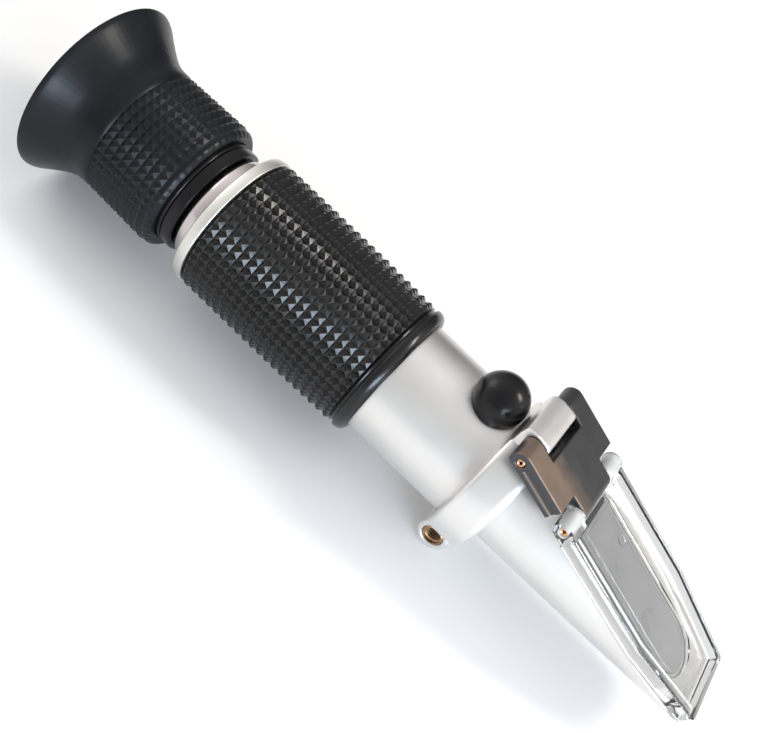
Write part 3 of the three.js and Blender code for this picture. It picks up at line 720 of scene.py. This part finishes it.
def make_port(brass):
    low, high = corners("calibration_bush")
    profile = [(low.z, 1.6), (low.z, 2.85), (13.2, 2.85), (13.2, 4), (high.z, 4), (high.z, 1.6)]
    bush = turned("calibration_bush_visual", softened(profile, 0.25, True), FINE_SIDES, upright(CAP_X))
    finished(bush, "calibration_bush", brass)
    low, high = corners("calibration_screw")
    profile = softened([(low.z, 0), (low.z, 1.42), (high.z, 1.42), (high.z, 0)], 0.2)
    screw = turned("calibration_screw_visual", profile, FINE_SIDES, upright(CAP_X))
    slot = box("slot", (CAP_X - 2, CAP_X + 2), (-0.25, 0.25), (high.z - 0.9, high.z + 1))
    finished(combined(screw, [slot], "DIFFERENCE"), "calibration_screw", brass)


# ---- Clamp collar, its insert and its screw ----
BEYOND = 20


def collar_cuts():
    """Room for the link's cross piece and arms, the pin, the split and the screw."""
    swing = arc((REAR_PIN.x, REAR_PIN.z), HINGE_ROOM_R, -50, 60) + [(118, 22), (118, 11.7)]
    cuts = [slab("swing", swing, -BOSS_HALF - 0.3, BOSS_HALF + 0.3)]
    for side in (-1, 1):
        limits = sorted((side * BOSS_HALF, side * (LINK_HALF + 0.4)))
        cuts.append(bar("arm_end", ARM_ROOM_R, limits, REAR_PIN.x, REAR_PIN.z))
        cuts.append(box("arm_room", (-14.8, 4), limits, (LINK_BOTTOM - 0.35, 8), SLOPED))
    cuts.append(bar("pin_hole", PIN_HOLE_R, (-BOSS_HALF - 1, BOSS_HALF + 1), REAR_PIN.x, REAR_PIN.z))
    whole_length = (COLLAR_START - 1, COLLAR_END + 1)
    cuts.append(box("split", whole_length, (-SPLIT_HALF, SPLIT_HALF), (LUG_Z - LUG_R - 1, -BARREL_R + 1)))
    cuts.append(bar("insert_hole", INSERT_HOLE_R, (-LUG_HALF - 1, -SPLIT_HALF), LUG_X, LUG_Z))
    cuts.append(bar("screw_hole", SCREW_HOLE_R, (-SPLIT_HALF, LUG_HALF + 1), LUG_X, LUG_Z))
    cuts.append(bar("counterbore", HEAD_ROOM_R, (LUG_HALF - 2.7, LUG_HALF + 1), LUG_X, LUG_Z))
    return cuts


def make_collar(material):
    bore = BARREL_R + FIT
    profile = [
        (COLLAR_START, bore), (COLLAR_START, COLLAR_R - 0.5), (COLLAR_START + 0.5, COLLAR_R),
        (COLLAR_END - 1.2, COLLAR_R), (COLLAR_END - 0.2, COLLAR_R - 0.35), (COLLAR_END, COLLAR_R - 0.8),
        (COLLAR_END, bore),
    ]
    collar = turned("clamp_collar_visual", softened(profile, 0.3, True))
    rear_top = [(BOSS_REAR, BOSS_TOP - 2.4), (BOSS_REAR + 0.25, BOSS_TOP - 0.6), (BOSS_REAR + 2.2, BOSS_TOP)]
    front_top = [(BOSS_FRONT - 0.75, BOSS_TOP - 0.55), (BOSS_FRONT, BOSS_TOP - 1.25)]
    foot = [(BOSS_FRONT, 15.4), (BOSS_FRONT - 0.8, BOSS_FOOT), (BOSS_REAR, BOSS_FOOT)]
    boss = softened(rear_top + front_top + foot, 1.2, True)
    boss_slab = slab("boss", boss, -BOSS_HALF, BOSS_HALF)
    lug = turned("lug", softened([(-LUG_HALF, 0), (-LUG_HALF, LUG_R), (LUG_HALF, LUG_R), (LUG_HALF, 0)], 0.5),
                 FINE_SIDES, crosswise(LUG_X, LUG_Z))
    combined(collar, [boss_slab, lug], "UNION")
    combined(collar, collar_cuts(), "DIFFERENCE")
    finished(cast(collar, 0.2, 5), "clamp_collar", material, 60)


def make_insert(material):
    """Brass insert with a cut thread, as rings of 0.6 mm pitch."""
    low, high = corners("thread_insert")
    thread = []
    pitch = 0.6
    crest, root = 1.6, 2.0
    for i in range(int((high.y - low.y - 0.4) / pitch), 0, -1):
        y = low.y + 0.3 + i * pitch
        thread += [(y, crest), (y - 0.1, crest), (y - pitch / 2, root), (y - pitch / 2 - 0.1, root)]
    profile = [(low.y, 1.95), (low.y, 2.2), (low.y + 0.1, 2.3), (high.y, 2.3), (high.y, 1.9)] + thread
    insert = turned("thread_insert_visual", profile, FINE_SIDES, crosswise(LUG_X, LUG_Z))
    finished(insert, "thread_insert", material, 25)


def make_clamp_screw(material):
    low, high = corners("clamp_screw")
    head_bottom = LUG_HALF - 2.6
    shank = [(low.y, 0), (low.y, 1.42), (head_bottom, 1.42)]
    profile = shank + [(head_bottom, 2.5), (high.y, 2.5), (high.y, 0)]
    screw = turned("clamp_screw_visual", softened(profile, 0.25), FINE_SIDES, crosswise(LUG_X, LUG_Z))
    socket = bar("socket", 1.3, (LUG_HALF - 1.5, LUG_HALF + 1), LUG_X, LUG_Z, 6)
    finished(combined(screw, [socket], "DIFFERENCE"), "clamp_screw", material)


def make_pin(node, centre, material):
    """A rolled hinge pin: a bright rounded rim round a small hollow in each end."""
    half = corners(node)[1].y
    hollow = [(half - 1.6, 0), (half - 1.6, 0.3), (half - 0.15, 0.36)]
    end = hollow + [(half, 0.55), (half, 0.66), (half - 0.14, PIN_R)]
    profile = [(-y, r) for y, r in end] + list(reversed(end))
    pin = turned(node + "_visual", profile, 48, crosswise(centre.x, centre.z))
    finished(pin, node, material)


# ---- Nose, prism and seal ----
def window_outline(grow):
    """The prism's outline in plan: straight at the back, round at the front."""
    half = WINDOW_HALF + grow
    rear = WINDOW_REAR - grow
    return [(rear, -half)] + arc((WINDOW_ARC_X, 0), half, -90, 90, WINDOW_STEPS) + [(rear, half)]


def make_nose(material):
    low, high = corners("nose_housing")
    spigot = BORE_R - FIT
    seal_groove = [(106.3, spigot), (106.3, spigot - 1.1), (107.7, spigot - 1.1), (107.7, spigot)]
    taper = [(113.3, 11.25), (140, 10.95), (157, 10.65), (166, 10.42), (high.x, 10.1), (high.x, 0)]
    outside = [(low.x, 0), (low.x, spigot)] + seal_groove + taper
    nose = turned("nose_housing_visual", outside)
    pocket = slab("pocket", window_outline(0.3), -BEYOND, 2, "Z", SLOPED)
    combined(pocket, [
        box("pocket_floor", (60, 200), (-BEYOND, BEYOND), (-47.3, -7.3)),
        box("pocket_rear", (60, 127), (-BEYOND, BEYOND), (-40, 40)),
    ], "DIFFERENCE")
    cuts = [
        box("slant", (-60, 80), (-BEYOND, BEYOND), (NOSE_FACE, 60), SLOPED),
        turned("wide_bore", [(low.x - 1, 0), (low.x - 1, 8.4), (118, 8.4), (118, 0)], FINE_SIDES),
        turned("narrow_bore", [(117, 0), (117, 6.2), (131, 6.2), (131, 0)], FINE_SIDES),
        pocket,
        slab("seal_pocket", window_outline(0.95), NOSE_FACE - 1.6, 2, "Z", SLOPED),
    ]
    finished(combined(nose, cuts, "DIFFERENCE"), "nose_housing", material, 25)


def make_prism(material):
    prism = slab("main_prism_visual", window_outline(0), -BEYOND, PRISM_TOP, "Z", SLOPED)
    rear_x = FRONT_PIN.x + WINDOW_REAR * math.cos(SLOPE) + PRISM_TOP * math.sin(SLOPE)
    cuts = [
        box("prism_floor", (60, 200), (-BEYOND, BEYOND), (-47, -7)),
        box("prism_rear", (60, rear_x), (-BEYOND, BEYOND), (-40, 40)),
    ]
    finished(bevelled(combined(prism, cuts, "DIFFERENCE"), 0.12), "main_prism", material)


def make_seal(material, dark):
    """Pale cement round the prism, and a dark strip along its straight rear edge."""
    top = NOSE_FACE - 0.3
    seal = slab("prism_seal_visual", window_outline(0.85), top - 1.2, top, "Z", SLOPED)
    hole = slab("seal_hole", window_outline(0.15), top - 3, 2, "Z", SLOPED)
    finished(combined(seal, [hole], "DIFFERENCE"), "prism_seal", material)
    behind = (WINDOW_REAR - 0.8, WINDOW_REAR - 0.2)
    half = WINDOW_HALF + 0.1
    strip = box("prism_rear_strip", behind, (-half, half), (top + 0.02, NOSE_FACE + 0.2), SLOPED)
    finished(bevelled(strip, 0.1), "prism_seal", dark)


# ---- Hinge link ----
def make_link(material):
    rear = SLOPED.inverted() @ REAR_PIN
    end_r = LINK_TOP - rear.z
    bottom_turn = 180 + math.degrees(math.asin((rear.z - LINK_BOTTOM) / end_r))
    side = [(ARM_FRONT, LINK_BOTTOM), (ARM_FRONT, LINK_TOP)]
    side += arc((rear.x, rear.z), end_r, 90, bottom_turn, 20)
    link = slab("hinge_link_visual", side, -LINK_HALF, LINK_HALF, "Y", SLOPED)
    tongue = [(LINK_OPENING, -TONGUE_R)] + arc((0, 0), TONGUE_R, -90, 90, 20) + [(LINK_OPENING, TONGUE_R)]
    combined(link, [slab("tongue", tongue, -TONGUE_HALF, TONGUE_HALF, "Y", SLOPED)], "UNION")
    opening = BOSS_HALF + 0.25
    cuts = [
        box("opening", (-30, LINK_OPENING), (-opening, opening), (-10, 10), SLOPED),
        bar("rear_hole", PIN_HOLE_R, (-PAST_LINK, PAST_LINK), rear.x, rear.z, 32, SLOPED),
        bar("front_hole", PIN_HOLE_R, (-PAST_LINK, PAST_LINK), 0, 0, 32, SLOPED),
    ]
    for limits in ((-PAST_LINK, GROOVE_DEPTH - LINK_HALF), (LINK_HALF - GROOVE_DEPTH, PAST_LINK)):
        cuts.append(box("groove", (-13.2, ARM_FRONT + 1), limits, (-0.8, 0.5), SLOPED))
    finished(cast(combined(link, cuts, "DIFFERENCE"), 0.14, 3), "hinge_link", material, 60)


# ---- Daylight plate ----
def plate_outline(rear, half, taper, tip, tip_half, end, corner):
    side = [(rear, half), (taper, half), (tip, tip_half), (end, tip_half - 0.6)]
    other = [(x, -y) for x, y in reversed(side)]
    return softened(other + side, corner, True)


def face_kind(face):
    """Index of a plate face's material: 0 clear, 1 a side face of the walls, 2 inside a pin hole."""
    centre = SLOPED.inverted() @ face.center
    facing = SLOPED.to_3x3().inverted() @ face.normal
    if math.hypot(centre.x, centre.z) < PIN_R + 0.3 and abs(centre.y) < PLATE_HALF - 0.1:
        return 2
    on_wall = centre.x > PLATE_LUG_R + 1 and centre.z > PLATE_FLOOR
    # Side faces of the walls take the grey tint of painted shade.
    return 1 if on_wall and abs(facing.z) < 0.5 else 0


def gate_mark():
    """A plain moulded ring on the floor of the recess, near its rear."""
    foot = Matrix.Translation((GATE_X, GATE_Y, PLATE_FLOOR - 0.3))
    place = SLOPED @ foot @ Matrix.Rotation(-math.pi / 2, 4, "Y")
    profile = [(-0.1, GATE_R - 0.3), (-0.1, GATE_R), (0.12, GATE_R - 0.05), (0.12, GATE_R - 0.25)]
    return turned("gate_mark", profile, FINE_SIDES, place)


def make_plate(materials):
    """A clear tray: floor, two side walls, end wall, hinge lugs, and the recess over the prism."""
    outer = plate_outline(0, PLATE_HALF, PLATE_TAPER, PLATE_END - 0.6, PLATE_TIP_HALF, PLATE_END, 0.8)
    plate = bevelled(slab("daylight_plate_visual", outer, PLATE_BOTTOM, PLATE_TOP, "Z", SLOPED), 0.35, 3, 50)
    end = PLATE_END - END_WALL
    inner_half = PLATE_HALF - WALL
    inner_tip = PLATE_TIP_HALF - WALL
    inner = plate_outline(-5, inner_half, PLATE_TAPER - 0.4, end - 0.4, inner_tip, end, 0.6)
    hollow = bevelled(slab("hollow", inner, PLATE_FLOOR, 5, "Z", SLOPED), 0.4, 3, 50)
    recess = slab("recess", window_outline(0), PLATE_FLOOR - 0.3, 5, "Z", SLOPED)
    rear = box("rear", (-5, PLATE_REAR), (-BEYOND, BEYOND), (-10, 10), SLOPED)
    combined(plate, [hollow, recess, rear], "DIFFERENCE")
    combined(plate, [gate_mark()], "UNION")
    lugs = []
    for side in (-1, 1):
        limits = sorted((side * PLATE_LUG_INNER, side * PLATE_HALF))
        profile = [(limits[0], 0), (limits[0], PLATE_LUG_R), (limits[1], PLATE_LUG_R), (limits[1], 0)]
        lugs.append(turned("lug_eye", softened(profile, 0.3), 48, SLOPED @ crosswise(0, 0)))
        lugs.append(bevelled(box("lug_root", (0, 2.6), limits, (-PLATE_LUG_R, PLATE_TOP), SLOPED), 0.25))
    combined(plate, lugs, "UNION")
    hole = bar("plate_pin_hole", PIN_HOLE_R, (-PAST_LINK, PAST_LINK), 0, 0, 32, SLOPED)
    combined(plate, [hole], "DIFFERENCE")
    kinds = [face_kind(face) for face in plate.data.polygons]
    finished(plate, "daylight_plate", materials[0], 35)
    for material in materials[1:]:
        plate.data.materials.append(material)
    for face, kind in zip(plate.data.polygons, kinds):
        face.material_index = kind


# ---- Lenses seen through the eyecup, and the pieces inside ----
def make_eye_lens(material):
    low, high = corners("eye_lens")
    radius = high.z
    steps = 12
    front = [(low.x + 0.8 * (i / steps) ** 2, radius * i / steps) for i in range(steps + 1)]
    back = [(high.x - 0.9 * (i / steps) ** 2, radius * i / steps) for i in range(steps, -1, -1)]
    finished(turned("eye_lens_visual", front + back, 96), "eye_lens", material)


def make_lens_cell(material):
    low, high = corners("lens_cell")
    flange = low.x + 1.3
    profile = [
        (low.x, 6.6), (low.x, high.z), (flange, high.z), (flange, 8.72), (high.x, 8.72),
        (high.x, 7.6), (low.x + 1, 7.6), (low.x + 1, 6.6),
    ]
    finished(turned("lens_cell_visual", softened(profile, 0.15, True), 96), "lens_cell", material)


def dress_inner_pieces(materials):
    """The CAD nodes that stay get the finish of their slot."""
    for name, node in frame["nodes"].items():
        if node.hide_render:
            continue
        node.data.materials.clear()
        node.data.materials.append(materials[SLOTS[name]])


# ---- Camera, floor and light ----
AXIS_ON_SCREEN = Vector((0.998, 0.0429, -0.0468))
TOWARDS_CAMERA = Vector((0.0634, -0.7162, 0.6951))
CAMERA_PLACE = Vector((0.009556, -0.145961, 0.162722))
CAMERA_ROLL = math.radians(44)
SENSOR_WIDTH = 36
LENS = 48.8
FLOOR_HALF = 3
FLOOR_GAP = 0.0003


def make_camera():
    """Looks down at 44 degrees, rolled so that the instrument runs from top left to bottom right."""
    back = TOWARDS_CAMERA.normalized()
    along = (AXIS_ON_SCREEN - AXIS_ON_SCREEN.dot(back) * back).normalized()
    above = back.cross(along)
    right = math.cos(CAMERA_ROLL) * along + math.sin(CAMERA_ROLL) * above
    up = math.cos(CAMERA_ROLL) * above - math.sin(CAMERA_ROLL) * along
    data = bpy.data.cameras.new("camera")
    data.sensor_width = SENSOR_WIDTH
    data.lens = LENS
    data.clip_start = 0.005
    data.clip_end = 20
    camera = bpy.data.objects.new("camera", data)
    turn = Matrix((right, up, back)).transposed().to_4x4()
    camera.matrix_world = Matrix.Translation(CAMERA_PLACE) @ turn
    bpy.context.scene.collection.objects.link(camera)
    bpy.context.scene.camera = camera


def make_floor():
    mesh = bpy.data.meshes.new("floor")
    half = FLOOR_HALF
    square = [(-half, -half, 0), (half, -half, 0), (half, half, 0), (-half, half, 0)]
    mesh.from_pydata(square, [], [(0, 1, 2, 3)])
    floor = bpy.data.objects.new("floor", mesh)
    floor.location.z = -FLOOR_GAP
    bpy.context.scene.collection.objects.link(floor)
    material = new_material("pale_floor", (0.88, 0.88, 0.885), 0.7, Specular_IOR_Level=0.2)
    mesh.materials.append(material)


def soft_box(name, towards, along, distance, size, radiance, color=(1, 1, 1)):
    """A soft light seen from the instrument in that direction, with its long side along another."""
    back = Vector(towards).normalized()
    side = (Vector(along) - Vector(along).dot(back) * back).normalized()
    data = bpy.data.lights.new(name, "AREA")
    data.shape = "RECTANGLE"
    data.size, data.size_y = size
    data.energy = radiance * math.pi * size[0] * size[1]
    data.color = color
    light = bpy.data.objects.new(name, data)
    turn = Matrix((side, back.cross(side), back)).transposed().to_4x4()
    light.matrix_world = Matrix.Translation(back * distance) @ turn
    bpy.context.scene.collection.objects.link(light)


# Brightness of the surroundings from the near side, over the top, to the far side.
SKY_ACROSS = (
    (0.0, 0.66), (0.08, 0.6), (0.25, 0.7), (0.4, 0.8), (0.58, 0.92),
    (0.72, 0.86), (0.87, 0.5), (0.96, 0.24), (1.0, 0.13),
)
SKY_ENDS = 0.8


def make_world():
    """A soft ceiling, darker behind the instrument and brighter past its two ends."""
    world = bpy.data.worlds.new("studio")
    world.use_nodes = True
    tree = world.node_tree
    nodes, links = tree.nodes, tree.links
    place = nodes.new("ShaderNodeTexCoord")
    split = nodes.new("ShaderNodeSeparateXYZ")
    links.new(place.outputs["Generated"], split.inputs["Vector"])
    across = nodes.new("ShaderNodeMath")
    across.operation = "MULTIPLY_ADD"
    across.inputs[1].default_value = 0.5
    across.inputs[2].default_value = 0.5
    links.new(split.outputs["Y"], across.inputs[0])
    sky = nodes.new("ShaderNodeValToRGB")
    stops = sky.color_ramp.elements
    while len(stops) < len(SKY_ACROSS):
        stops.new(0.5)
    for stop, (where, grey) in zip(stops, SKY_ACROSS):
        stop.position = where
        stop.color = (grey, grey, grey, 1)
    links.new(across.outputs["Value"], sky.inputs["Fac"])
    squared = nodes.new("ShaderNodeMath")
    squared.operation = "MULTIPLY"
    links.new(split.outputs["X"], squared.inputs[0])
    links.new(split.outputs["X"], squared.inputs[1])
    ends = nodes.new("ShaderNodeMath")
    ends.operation = "MULTIPLY_ADD"
    ends.inputs[1].default_value = SKY_ENDS
    ends.inputs[2].default_value = 1
    links.new(squared.outputs["Value"], ends.inputs[0])
    links.new(sky.outputs["Color"], nodes["Background"].inputs["Color"])
    links.new(ends.outputs["Value"], nodes["Background"].inputs["Strength"])
    bpy.context.scene.world = world


def make_light():
    soft_box("ceiling_strip", (0.6, 0.28, 0.75), (1, 0, 0), 0.9, (0.3, 0.14), 22, (1, 0.95, 0.88))
    soft_box("blue_window", (0.77, -0.62, 0.12), (0.62, 0.77, 0), 0.65, (0.4, 0.26), 16, (0.7, 0.84, 1))
    soft_box("rear_end", (-0.9, 0.05, 0.42), (0, 1, 0), 1, (0.5, 0.4), 2)
    bpy.context.scene.view_settings.view_transform = "Standard"


# ---- The whole instrument ----
def make_instrument():
    silver = satin_silver()
    brass = turned_brass()
    copper = copper_pin()
    steel = bright_steel()
    black = black_anodised()
    cup = cup_rubber()
    grip = grip_rubber()
    gloss = gloss_black()
    polished = polished_metal()
    sealant = pale_sealant()
    prism = prism_glass()
    grey = hinge_grey()
    clear = clear_plastic()
    make_eyecup(cup)
    make_focus_ring(gloss)
    make_eyepiece_tube(polished)
    make_shoulder_ring(cream_metal())
    make_grip(grip)
    make_barrel(silver)
    make_cap(gloss)
    make_port(brass)
    make_collar(silver)
    make_insert(aged_brass())
    make_clamp_screw(steel)
    make_pin("rear_hinge_pin", REAR_PIN, copper)
    make_pin("front_hinge_pin", FRONT_PIN, copper)
    make_nose(silver)
    make_prism(prism)
    make_seal(sealant, grip)
    make_link(grey)
    make_plate([clear, shaded_wall_plastic(), frosted_plastic()])
    lens = lens_glass()
    make_eye_lens(lens)
    make_lens_cell(black)
    dress_inner_pieces({
        "black_rubber": grip,
        "black_anodised": black,
        "brass": brass,
        "spring_steel": steel,
        "optical_glass": lens,
    })


make_camera()
make_floor()
make_world()
make_light()
make_instrument()
